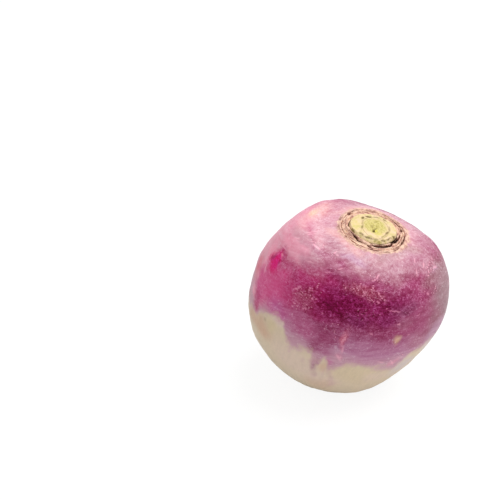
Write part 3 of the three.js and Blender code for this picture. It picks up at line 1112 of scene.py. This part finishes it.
# %% Scratches
SCRATCHES = [  # from azimuth, height, to azimuth, height, half width, strength
    (209.5, 29.1, 219.5, 29.4, 0.6, 1.0), (194.5, 28.6, 189.5, 31.6, 0.5, 0.6),
    (196, 25.8, 200, 26.9, 0.4, 0.6), (197, 28.8, 195, 30.7, 0.4, 0.6),
    (205.5, 28.8, 207.5, 29.6, 0.4, 0.5), (230, 30.7, 229.5, 31.3, 0.5, 0.7),
    (201.5, 21.1, 213, 24.6, 0.4, 0.4), (272.5, 28.8, 275, 29.2, 0.4, 0.8),
    (275.5, 29.3, 278, 30.3, 0.45, 0.9), (288, 21.2, 299, 20.7, 0.4, 0.7),
    (224.5, 12.8, 229, 16.2, 0.35, 0.8), (232, 30.8, 235.5, 30.9, 0.45, 0.6),
    (243, 28.3, 246, 29.0, 0.4, 0.6), (298, 15.8, 299.3, 15.8, 0.6, 0.8),
    (322.5, 25.2, 324, 24.8, 0.6, 0.6), (312, 18.3, 314.5, 18.8, 0.4, 0.5),
    (268, 7.0, 267, 3.0, 0.6, 0.6), (269, 2.0, 270, -1.5, 0.7, 0.5), (267, -3.0, 272, -6.0, 0.7, 0.5),
    (295, -3.5, 300, -4.5, 0.6, 0.5), (304, -3.0, 309, -7.0, 0.6, 0.5),
    (308.5, 10, 309.5, 10, 0.5, 0.5), (191, 9.0, 194.5, 4.5, 0.7, 0.8),
    (194, 20.2, 200.5, 20.9, 0.5, 0.7), (281, 10.8, 283, 10.4, 0.5, 0.6),
    (330, 30.0, 336, 30.6, 0.5, 0.7), (341, 29.0, 348, 28.6, 0.6, 0.7),
    (324, 31.4, 328, 31.8, 0.5, 0.7), (234.2, 18.2, 234.8, 18.2, 0.55, 0.9),
    (237.8, 20.1, 238.3, 20.1, 0.45, 0.8), (238.8, 15.2, 239.3, 15.1, 0.5, 0.9),
    (241.3, 15.9, 241.8, 16.0, 0.45, 0.9), (236.8, 9.2, 237.2, 9.4, 0.45, 0.8),
    (238.3, 9.8, 238.8, 9.6, 0.45, 0.8), (229.8, 8.5, 230.3, 8.5, 0.4, 0.7),
    (229.8, 6.8, 230.3, 7.0, 0.4, 0.7), (248.8, 12.0, 249.3, 12.0, 0.45, 0.6),
    (226.5, 15.2, 228.6, 16.5, 0.4, 0.7), (219, 24.5, 226, 26.0, 0.35, 0.5),
    (236, 25.6, 242, 27.0, 0.35, 0.5), (318, 29.5, 321, 30.5, 0.5, 0.6),
]
print("scratches:", len(SCRATCHES))

# %% [markdown]
# ## A scratch as nodes
#
# The vertices lie too far apart to hold such thin lines as paint, so each scratch is a few nodes:
# a Mapping node turns and scales a long thin ellipsoid to a ball, and what lies inside the ball is
# scratched. The ellipsoid is a few millimetres deep, so that the curved skin between the two ends
# stays inside it.

# %% A scratch as nodes
SCRATCH_DEPTH = 4.0
SCRATCH_EDGE = (0.4, 1.1)  # where its edge starts and ends, as a share of its size


def scratched(finish, place):
    """How much of a thin straight scratch reaches each place."""
    reached = 0.0
    for from_azimuth, from_height, to_azimuth, to_height, half_width, strength in SCRATCHES:
        first = on_turnip(from_azimuth, outline_radius(from_height), from_height)
        last = on_turnip(to_azimuth, outline_radius(to_height), to_height)
        middle = (first + last) / 2
        along = (last - first).normalized()
        across = middle.cross(along).normalized()
        turned_to = Matrix((along, across, along.cross(across))).transposed().to_euler()
        size = ((last - first).length / 2 + half_width, half_width, SCRATCH_DEPTH)
        laid = {"Vector": place, "Location": middle, "Rotation": turned_to, "Scale": size}
        inside = finish.add("Mapping", laid, vector_type="TEXTURE").outputs[0]
        off = finish.add("VectorMath", {0: inside}, operation="LENGTH").outputs["Value"]
        reached = finish.most(reached, finish.between(off, *SCRATCH_EDGE, strength, 0))
    return reached


# %% [markdown]
# ## Scratches on the blush
#
# Besides the placed scratches there are hair lines all over, too fine and too many to place. They
# are contours of a noise: the narrow band where it passes its middle, left out where the mottle
# is low.

# %% Hair lines and scratches
contour = skin.joined("SUBTRACT", skin.noise(upright, 0.28, 3, 0.5, 1.2), 0.5)
contour = skin.add("Math", {0: contour}, operation="ABSOLUTE").outputs[0]
hair = skin.times(skin.between(contour, 0.0, 0.016, 1, 0), skin.between(mottle, 0.4, 0.55, 0, 0.8))
blush = skin.mix(hair, blush, lighter)
blush = skin.mix(scratched(skin, jolted), blush, pale)
print("nodes with the scratches:", len(skin.tree.nodes))

# %% [markdown]
# ## White or purple
#
# The stored height above the edge is frayed by the cloud, the mottle and the smears, and the blush
# comes in softly over 5 to 6 mm of it. The stains are added, broken by the streaks.

# %% White or purple
frayed = skin.plus(
    skin.attribute("rise"),
    skin.between(cloud, 0.25, 0.75, -1.1, 1.1),
    skin.between(mottle, 0.2, 0.8, -0.9, 0.9),
    skin.between(smears, 0.2, 0.8, -0.9, 0.9),
)
purple = skin.between(frayed, -2.6, 3.0)
stain = skin.times(skin.attribute("stain"), skin.between(streaks, 0.3, 0.6, 0.5, 1.0))
colour = skin.mix(skin.most(purple, stain), white, blush)
print("nodes with the edge of the blush:", len(skin.tree.nodes))

# %% [markdown]
# ## Cork round the crown
#
# The lip and the leaf bases are one tissue, so one helper paints the cork of both: blotches of
# peach and tan, with cracks that run in rings, because they are read from the ring coordinates.
# On the root it lies over the skin as far as the margin reaches, with a mottled edge. The marks
# in the lip are brown. The wall of the pit under the lip is painted dark brown as shade.

# %% Cork and crown
def corky(finish):
    """Cork, mottled and cracked in rings round the crown: its colour and its cracks."""
    crack = finish.noise(finish.attribute("ring_place", "Vector"), 0.9, 4, 0.6, 0.5)
    blotch = finish.noise(finish.attribute("upright_place", "Vector"), 0.45, 4, 0.65)
    colour = finish.ramp(blotch, (0.36, "b58478"), (0.47, "dcb4a0"), (0.62, "eccab0"))
    colour = finish.mix(finish.between(crack, 0.5, 0.6, 0, 0.55), colour, "a8766e")
    colour = finish.mix(finish.between(crack, 0.61, 0.68, 0, 0.75), colour, "704236")
    return colour, crack


reach = skin.attribute("margin")
mottled_reach = skin.plus(reach, skin.between(mottle, 0.2, 0.8, -0.5, 0.4))
cork_share = skin.times(skin.between(mottled_reach, 0, 0.9, 0, 0.95), skin.between(reach, 0, 0.12))
colour = skin.mix(cork_share, colour, corky(skin)[0])
colour = skin.mix(skin.times(skin.attribute("lip_mark"), 0.8), colour, "6a3c30")
# painted shade on the wall of the pit
colour = skin.mix(skin.attribute("pit"), colour, "4a2820")
skin.set("Base Color", colour)
print("nodes with the crown:", len(skin.tree.nodes))

# %% [markdown]
# ## Shine and relief of the skin
#
# The skin has a soft sheen and the flecks of cork are dull. A very low bump lets the flecks, the
# strokes and the grain catch the light.

# %% Shine and relief
SKIN_RELIEF = 0.3 * MM

relief = skin.plus(skin.times(fleck, 0.5), skin.times(strokes, 0.4), skin.times(grain, 0.3))
skin.set("Normal", skin.bump(relief, SKIN_RELIEF, 0.5))
skin.set("Roughness", skin.between(fleck, 0, 1, 0.4, 0.7))
dress(root, skin)
print("nodes of the skin:", len(skin.tree.nodes))

# %% [markdown]
# ## The dry leaf bases
#
# Where the outer leaves were pulled off, their dried bases are left as a ring of corky tissue
# round the stub, on a thin plate. The body is turned with a ring every 0.14 mm across its top,
# which is fine enough to carve.

# %% The body of the leaf bases
GAP = 0.3  # between one piece and the next
PLATE_BOTTOM = PIT_FLOOR + GAP
PLATE_TOP = PLATE_BOTTOM + 1.2
TISSUE_INSIDE = 10.45
TISSUE_OUTSIDE = 14.22
TISSUE_TOP = 33.7
TISSUE_RING = 0.14
TISSUE_STEPS = 360
PLATE_EDGE = 0.2
TOP_EDGE = 0.3

rings = round((TISSUE_OUTSIDE - TISSUE_INSIDE) / TISSUE_RING)
outline = [
    (0, PLATE_BOTTOM),
    (TISSUE_OUTSIDE - PLATE_EDGE, PLATE_BOTTOM),
    (TISSUE_OUTSIDE, PLATE_BOTTOM + PLATE_EDGE),
    (TISSUE_OUTSIDE, PLATE_TOP),
    (TISSUE_OUTSIDE, TISSUE_TOP - TOP_EDGE),
]
outline += [(TISSUE_OUTSIDE - TISSUE_RING * ring, TISSUE_TOP) for ring in range(rings + 1)]
outline += [(TISSUE_INSIDE, TISSUE_TOP - 2 * TOP_EDGE), (TISSUE_INSIDE, PLATE_TOP), (0, PLATE_TOP)]
leaf_bases = turned("dry_leaf_bases", outline, TISSUE_STEPS)
print("leaf bases:", len(leaf_bases.data.polygons), "faces")

# %% [markdown]
# ## Crescents, lobes and gaps
#
# The leaf bases sit in a spiral, each a golden angle from the one before, and each torn leaf left
# a low rim in the shape of a crescent. A few lobes stand higher, where bases still lean on the
# stub. The gaps are where the tissue has shrunk and split: strokes along the ring, with the drift
# outwards that makes them part of a spiral.

# %% Crescents, lobes and gaps
LEAF_COUNT = 9
GOLDEN_ANGLE = 137.5
FIRST_LEAF_ANGLE = 300
LEAF_OUTER_RADIUS = 13.7
LEAF_RADIUS_STEP = 0.3
LEAF_HALF_LENGTH = 11.0
LEAF_HALF_WIDTH = 0.35
LEAF_RISE = 0.4
LOBES = [  # azimuth, radius, half length, half width, rise
    (216, 10.9, 6.5, 1.9, 0.9), (186, 11.4, 5.0, 1.5, 0.35), (150, 11.3, 5.0, 1.3, 0.4),
    (250, 10.8, 2.5, 1.2, 0.4), (90, 11.5, 9.0, 2.5, 0.4), (40, 11.4, 5.0, 1.5, 0.3),
]
GAPS = [  # azimuth, radius, half length, half width, depth, drift
    (285, 11.7, 5.2, 1.3, 2.1, 0.03), (309, 11.6, 1.6, 0.7, 1.6, -0.3), (330, 10.9, 4.0, 0.8, 2.0, 0.0),
    (351, 11.3, 2.2, 0.4, 1.1, 0.0), (210, 11.2, 2.0, 0.5, 1.4, 0.0), (225, 11.2, 2.4, 0.5, 1.4, 0.0),
    (240, 12.0, 4.6, 0.5, 1.7, 0.1), (262, 13.1, 1.5, 0.7, 1.7, 0.7),
    (147, 11.0, 3.4, 0.35, 0.35, 0.15), (176, 10.9, 3.4, 0.3, 0.25, 0.0),
    (166, 13.3, 1.4, 0.8, 0.45, 0.0), (178, 13.0, 3.0, 0.5, 0.3, 0.0), (133, 13.6, 2.2, 0.5, 1.0, 0.0),
    (111, 13.3, 1.3, 0.5, 1.0, 0.2), (60, 12.1, 1.6, 0.7, 0.8, 0.0), (42, 12.9, 2.4, 0.5, 0.9, 0.0),
    (30, 13.1, 1.6, 0.5, 0.9, 0.0), (15, 12.7, 1.4, 0.6, 1.0, 0.0), (322, 12.7, 4.0, 0.3, 0.7, -0.05),
    (345, 12.3, 4.0, 0.25, 0.6, 0.0), (340, 13.4, 6.0, 0.35, 0.9, -0.06),
]
print("crescents:", LEAF_COUNT, "lobes:", len(LOBES), "gaps:", len(GAPS))

# %% [markdown]
# ## Carving the leaf bases
#
# Only the top is carved. It swells and wrinkles by noise, the crescents and lobes are added, and
# the deepest gap at each place is taken off. A floor keeps the gaps from going through the plate.
# The depth is stored, and on the walls how far they lie under the top, because the finish paints
# shade by them: the deeper, the darker.

# %% Carve the leaf bases
GAP_FLOOR = PLATE_TOP - 0.8
TISSUE_SWELL = (2.6, 0.2)  # size and height
TISSUE_WRINKLE = (1.2, 0.16)
WALL_SHADE = 0.2  # how far under the top the wall starts to darken

rows = made_oval(places(leaf_bases))
on_top = rows[:, 2] > TISSUE_TOP - TOUCH
drawn = rows + wander(rows, *CROWN_WANDER)
rise = TISSUE_SWELL[1] * noise_at(rows, TISSUE_SWELL[0])
rise += TISSUE_WRINKLE[1] * noise_at(ring_places(rows), TISSUE_WRINKLE[0])
for number in range(LEAF_COUNT):
    azimuth = FIRST_LEAF_ANGLE + GOLDEN_ANGLE * number
    radius = LEAF_OUTER_RADIUS - LEAF_RADIUS_STEP * number
    rise += LEAF_RISE * stroke_cover(drawn, azimuth, radius, LEAF_HALF_LENGTH, LEAF_HALF_WIDTH)
for *stroke, high in LOBES:
    rise += high * stroke_cover(drawn, *stroke)
depth = np.zeros(len(rows))
for *stroke, deep, drift in GAPS:
    depth = np.maximum(depth, deep * stroke_cover(drawn, *stroke, drift))
rows[:, 2] += np.where(on_top, rise - depth, 0)
rows[:, 2] = np.where(on_top, np.maximum(rows[:, 2], GAP_FLOOR), rows[:, 2])
set_places(leaf_bases, rows)
keep_places(leaf_bases)
# stored for painted shade: deep gaps and low walls turn dark
store(leaf_bases, "depth", np.where(on_top, depth, TISSUE_TOP - WALL_SHADE - rows[:, 2]))
print("deepest gap:", round(float(depth.max()), 1), "mm")

# %% [markdown]
# ## Setting the leaf bases in the crown
#
# They grow and lie down with the root. Their edges are crisp, so they are shaded smooth only where
# faces meet at less than 50 degrees. The stub will be set in the same way.

# %% The leaf bases set down
CRISP = math.radians(50)


def set_in_crown(piece):
    """Grows a crown piece with the root, lays it down and shades it with crisp edges."""
    grow(piece)
    lay_down(piece)
    bpy.ops.object.shade_smooth_by_angle(angle=CRISP)
    print(piece.name + ":", np.ptp(places(piece), axis=0).round(1), "mm")


set_in_crown(leaf_bases)

# %% [markdown]
# ## The stub of the cut stalks
#
# The stub is a low round block, cut flat with a knife. It is turned with a ring every 0.2 mm
# across its top, because the marks on its cut are easier to place by numbers than by hand.

# %% The body of the stub
STUB_RADIUS = 10.2
STUB_FOOT_RADIUS = 9.9
STUB_BOTTOM = PLATE_TOP + GAP
STUB_TOP = 35.2
STUB_STEPS = 240
STUB_EDGE = 0.1
FOOT_EDGE = 0.2
CUT_RING = 0.2

cut_radius = STUB_RADIUS - STUB_EDGE
cut_rings = round(cut_radius / CUT_RING)
outline = [
    (0, STUB_BOTTOM),
    (STUB_FOOT_RADIUS - FOOT_EDGE, STUB_BOTTOM),
    (STUB_FOOT_RADIUS, STUB_BOTTOM + FOOT_EDGE),
    (STUB_FOOT_RADIUS + FOOT_EDGE, STUB_BOTTOM + 3 * FOOT_EDGE),
    (STUB_RADIUS, STUB_BOTTOM + 5 * FOOT_EDGE),
]
outline += [(cut_radius * (1 - ring / cut_rings), STUB_TOP) for ring in range(cut_rings + 1)]
stub = turned("cut_stalk_stub", outline, STUB_STEPS)
print("stub:", len(stub.data.polygons), "faces")

# %% [markdown]
# ## Marks on the cut
#
# The cut shows what the stub is made of: a green oval pith with a bud notch, and round it the
# stalk bases. Each mark is a stroke on the cut: x, y, half length, half width, direction, depth and
# how dark it is. Glints are the same without depth, for what is brighter, in yellow green.

# %% Marks on the cut
MARKS = [  # x, y, half length, half width, direction, depth, darkness
    # round the pith
    (-1.8, 7.6, 2.1, 0.75, 4, 0.3, 1.0), (-4.2, 5.9, 1.5, 0.8, 62, 0.35, 1.0),
    (1.7, 8.3, 2.0, 0.6, 8, 0.2, 0.6), (5.3, 7.0, 1.5, 0.7, -45, 0.3, 0.8),
    (-4.5, 2.6, 3.0, 0.5, 92, 0.1, 0.35), (-4.8, -1.3, 2.2, 0.6, 80, 0.15, 0.6),
    (6.9, 0.8, 2.6, 0.5, 90, 0.15, 0.55), (5.8, -2.6, 2.4, 0.6, 64, 0.25, 0.85),
    (4.2, -5.4, 2.8, 0.5, 55, 0.2, 0.5), (-5.3, -6.6, 1.9, 0.8, -42, 0.3, 0.75),
    (-2.2, -8.4, 2.6, 0.8, -12, 0.3, 0.85), (0.6, -8.7, 1.6, 0.7, 0, 0.25, 0.7),
    (3.9, -8.4, 1.6, 0.6, 14, 0.2, 0.7), (6.6, -6.4, 2.4, 0.5, 46, 0.25, 0.75),
    (8.6, -4.4, 1.1, 0.8, 60, 0.4, 1.0), (-8.6, -4.6, 2.0, 0.35, -62, 0.2, 0.8),
    # the bud notch
    (0.1, -2.8, 1.3, 0.7, 84, 0.8, 1.2), (0.9, -1.3, 1.3, 0.45, 60, 0.3, 0.7),
    (-0.5, 0.2, 1.8, 0.7, 92, 0.2, 0.4), (1.2, 4.2, 1.4, 0.7, 40, 0.15, 0.35),
]
GLINTS = [  # x, y, half length, half width, direction, brightness
    (1.2, -2.6, 1.3, 0.9, 70, 0.8), (1.8, -4.6, 2.4, 1.4, 20, 0.3),
    (-7.6, -1.0, 5.5, 2.4, 90, 0.25), (3.0, -4.5, 3.0, 1.6, 50, 0.2),
]
MARK_FIRMNESS = 1.6


def mark_cover(rows, x, y, half_length, half_width, direction):
    """How much of a soft stroke on the cut reaches each place, 0 to 1."""
    turn = math.radians(direction)
    along = (rows[:, 0] - x) * math.cos(turn) + (rows[:, 1] - y) * math.sin(turn)
    across = (rows[:, 1] - y) * math.cos(turn) - (rows[:, 0] - x) * math.sin(turn)
    return soft_cover(along / half_length, across / half_width, MARK_FIRMNESS)


print("marks:", len(MARKS), "glints:", len(GLINTS))

# %% [markdown]
# ## Carving the cut
#
# The marks are cut into a face that is grainy and swells a little, with a fine oval line round the
# pith. How dark the marks are and where the glints lie is kept for the finish.

# %% Carve the cut
CUT_WANDER = (1.1, 0.2)  # size and reach
CUT_GRAIN = (0.8, 0.06)  # size and height
CUT_SWELL = (3.0, 0.14)
LINE_MIDDLE = (0.9, -0.2)  # of the oval line round the pith
LINE_SIZE = (5.7, 8.1)
LINE_WIDTH = 0.45
LINE_DEPTH = 0.1
LINE_DARKNESS = 0.4

rows = places(stub)
on_cut = rows[:, 2] > STUB_TOP - TOUCH
drawn = rows + wander(rows, *CUT_WANDER)
carved = CUT_GRAIN[1] * noise_at(rows, CUT_GRAIN[0]) + CUT_SWELL[1] * noise_at(rows, CUT_SWELL[0])
dark = np.zeros(len(rows))
for *mark, deep, darkness in MARKS:
    cover = mark_cover(drawn, *mark)
    carved += deep * cover
    dark = np.maximum(dark, darkness * cover)
off_line = np.abs(axis_distance((drawn[:, :2] - LINE_MIDDLE) / LINE_SIZE) - 1)
line = fade(1 - off_line * np.mean(LINE_SIZE) / LINE_WIDTH)
carved += LINE_DEPTH * line
dark = np.maximum(dark, LINE_DARKNESS * line)
glint = sum(brightness * mark_cover(drawn, *mark) for *mark, brightness in GLINTS)
print("deepest mark:", round(float(carved.max()), 1), "mm")

# %% [markdown]
# ## The rim of the stub
#
# Round its rim the cut falls away in a soft curve, which starts further in at the front. Last, the
# stub is pushed out of round by two slow waves, as nothing that grew is a true circle.

# %% The rim
FRONT_AZIMUTH = 262
RIM = 9.7  # where the cut ends and the wall begins
RIM_FRONT = -1.0  # how much less it is in front
RIM_UNEVEN = (1.5, 0.15)  # size and reach
RIM_FALL = 1.5  # how far the wall falls before it turns straight down
RIM_CURVE = 1.3  # over 1, the rim is rounded
STUB_WAVES = ((3, 0.006, 0.5), (5, 0.005, 2.0))  # count, share of the radius, start

radius = axis_distance(rows)
in_front = stroke_cover(rows, FRONT_AZIMUTH, radius.max(), 1.2 * radius.max(), 2 * radius.max())
rim = RIM + RIM_FRONT * in_front + RIM_UNEVEN[1] * noise_at(drawn, RIM_UNEVEN[0])
wall = np.maximum(radius - rim, 0) / (STUB_RADIUS - rim)
carved += RIM_FALL * wall**RIM_CURVE
rows[:, 2] -= np.where(on_cut, carved, 0)
azimuths = np.arctan2(rows[:, 1], rows[:, 0])
wider = sum(size * np.sin(count * azimuths + start) for count, size, start in STUB_WAVES)
rows[:, :2] *= 1 + wider[:, None]
set_places(stub, rows)
print("the rim starts", round(float(rim.min()), 1), "to", round(float(rim.max()), 1), "mm out")

# %% [markdown]
# ## What the finish of the stub needs to know
#
# The pith, the cut as against the wall, the painted shade where the stub lies sunken between the
# leaf bases, the dark of the marks and the glints are stored on the vertices. Then the stub is set
# in the crown.

# %% The stub set down
PITH_MIDDLE = (0.7, 1.0)
PITH_SIZE = (5.6, 6.4)
PITH_EDGE = (1.1, 0.45)  # where it ends and over what width it fades, as shares of its size
SUNK_SHADE = (1.3, 0.5)  # how far under the cut the dark starts, and over what height it grows

keep_places(stub)
from_pith = axis_distance((drawn[:, :2] - PITH_MIDDLE) / PITH_SIZE)
store(stub, "pith", fade((PITH_EDGE[0] - from_pith) / PITH_EDGE[1]))
store(stub, "cut", np.where(on_cut, fade(1 - 2 * wall), 0.0))
# painted shade low on the wall, below the cut
store(stub, "sunk_shade", fade((STUB_TOP - SUNK_SHADE[0] - rows[:, 2]) / SUNK_SHADE[1]))
store(stub, "dark", np.where(on_cut, dark, 0))
store(stub, "glint", np.where(on_cut, glint, 0))
set_in_crown(stub)

# %% [markdown]
# ## The finish of the dry leaf bases
#
# The tissue is the same cork as on the lip, so it is painted by the same helper. The gaps get
# painted shade, brown and almost black where they are deep, and so do the walls below the top.

# %% Dry leaf
DRY_RELIEF = 0.2 * MM

dry = Finish("dry_leaf_tissue", Roughness=0.85, Specular_IOR_Level=0.2)
colour, crack = corky(dry)
frayed = dry.plus(dry.attribute("depth"), dry.between(crack, 0.3, 0.7, -0.25, 0.25))
# painted shade in the gaps and down the walls
colour = dry.mix(dry.between(frayed, 0.15, 0.7), colour, "865446")
colour = dry.mix(dry.between(frayed, 0.7, 1.3), colour, "2a120c")
dry.set("Base Color", colour)
dry.set("Normal", dry.bump(crack, DRY_RELIEF, 0.6))
dress(leaf_bases, dry)
print("nodes of the dry leaf:", len(dry.tree.nodes))

# %% [markdown]
# ## The finish of the cut stub
#
# The cut is moist and pale yellow, greener in the pith. Cells that dried out draw olive lines
# along the marks, and the wall keeps green and brown spots. Low down, where the wall is sunken
# between the leaf bases, it is painted dark brown as shade.

# %% Cut stalk
CUT_RELIEF = 0.2 * MM

flesh = Finish("cut_stalk_flesh", Roughness=0.55, Specular_IOR_Level=0.3)
upright = flesh.attribute("upright_place", "Vector")
blotch = flesh.noise(upright, 0.45, 4, 0.6)
fibres = flesh.noise(flesh.stretched(upright, (1, 0.45, 1)), 1.6, 4, 0.65)
pale = flesh.ramp(blotch, (0.35, "cdbd80"), (0.5, "dfc696"), (0.65, "e6c8a6"))
green = flesh.ramp(fibres, (0.35, "a89a4c"), (0.5, "c6b86c"), (0.65, "dccc8a"))
wall = flesh.ramp(blotch, (0.33, "a8964e"), (0.46, "e0cb94"), (0.6, "ecd0ac"))
colour = flesh.mix(flesh.attribute("pith"), pale, green)
colour = flesh.mix(flesh.attribute("cut"), wall, colour)
# painted shade low on the wall, sunken between the leaf bases
colour = flesh.mix(flesh.attribute("sunk_shade"), colour, "3a2012")
colour = flesh.mix(flesh.attribute("glint"), colour, "cfc64a")
colour = flesh.mix(flesh.between(fibres, 0.56, 0.7, 0, 0.35), colour, "a3935a")
dark = flesh.times(flesh.attribute("dark"), flesh.between(fibres, 0.3, 0.6, 0.7, 1.1))
colour = flesh.mix(flesh.joined("MINIMUM", dark, 0.95), colour, "6a5420")
flesh.set("Base Color", colour)
flesh.set("Normal", flesh.bump(fibres, CUT_RELIEF, 0.6))
dress(stub, flesh)
print("nodes of the cut stalk:", len(flesh.tree.nodes))

# %% [markdown]
# ## Hand over to the frame
#
# The three pieces ride on the one body of the turnip, and each takes the place of its plain solid.
# The boxes of the plain and of the dressed turnip are written down side by side, to show that the
# finer meshes keep the size.

# %% Ride, replace and measure
for piece, node, slot in (
    (root, "swollen_root", "root_skin"),
    (leaf_bases, "leaf_bases", "dry_leaf"),
    (stub, "stalk_stub", "cut_stalk"),
):
    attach(piece, "root")
    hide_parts(node)

boxes = {"cad": cad_box, "visual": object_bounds()}
for kind, (low, high) in boxes.items():
    print(kind, "size:", [round(float(b - a) / MM, 1) for a, b in zip(low, high)], "mm")
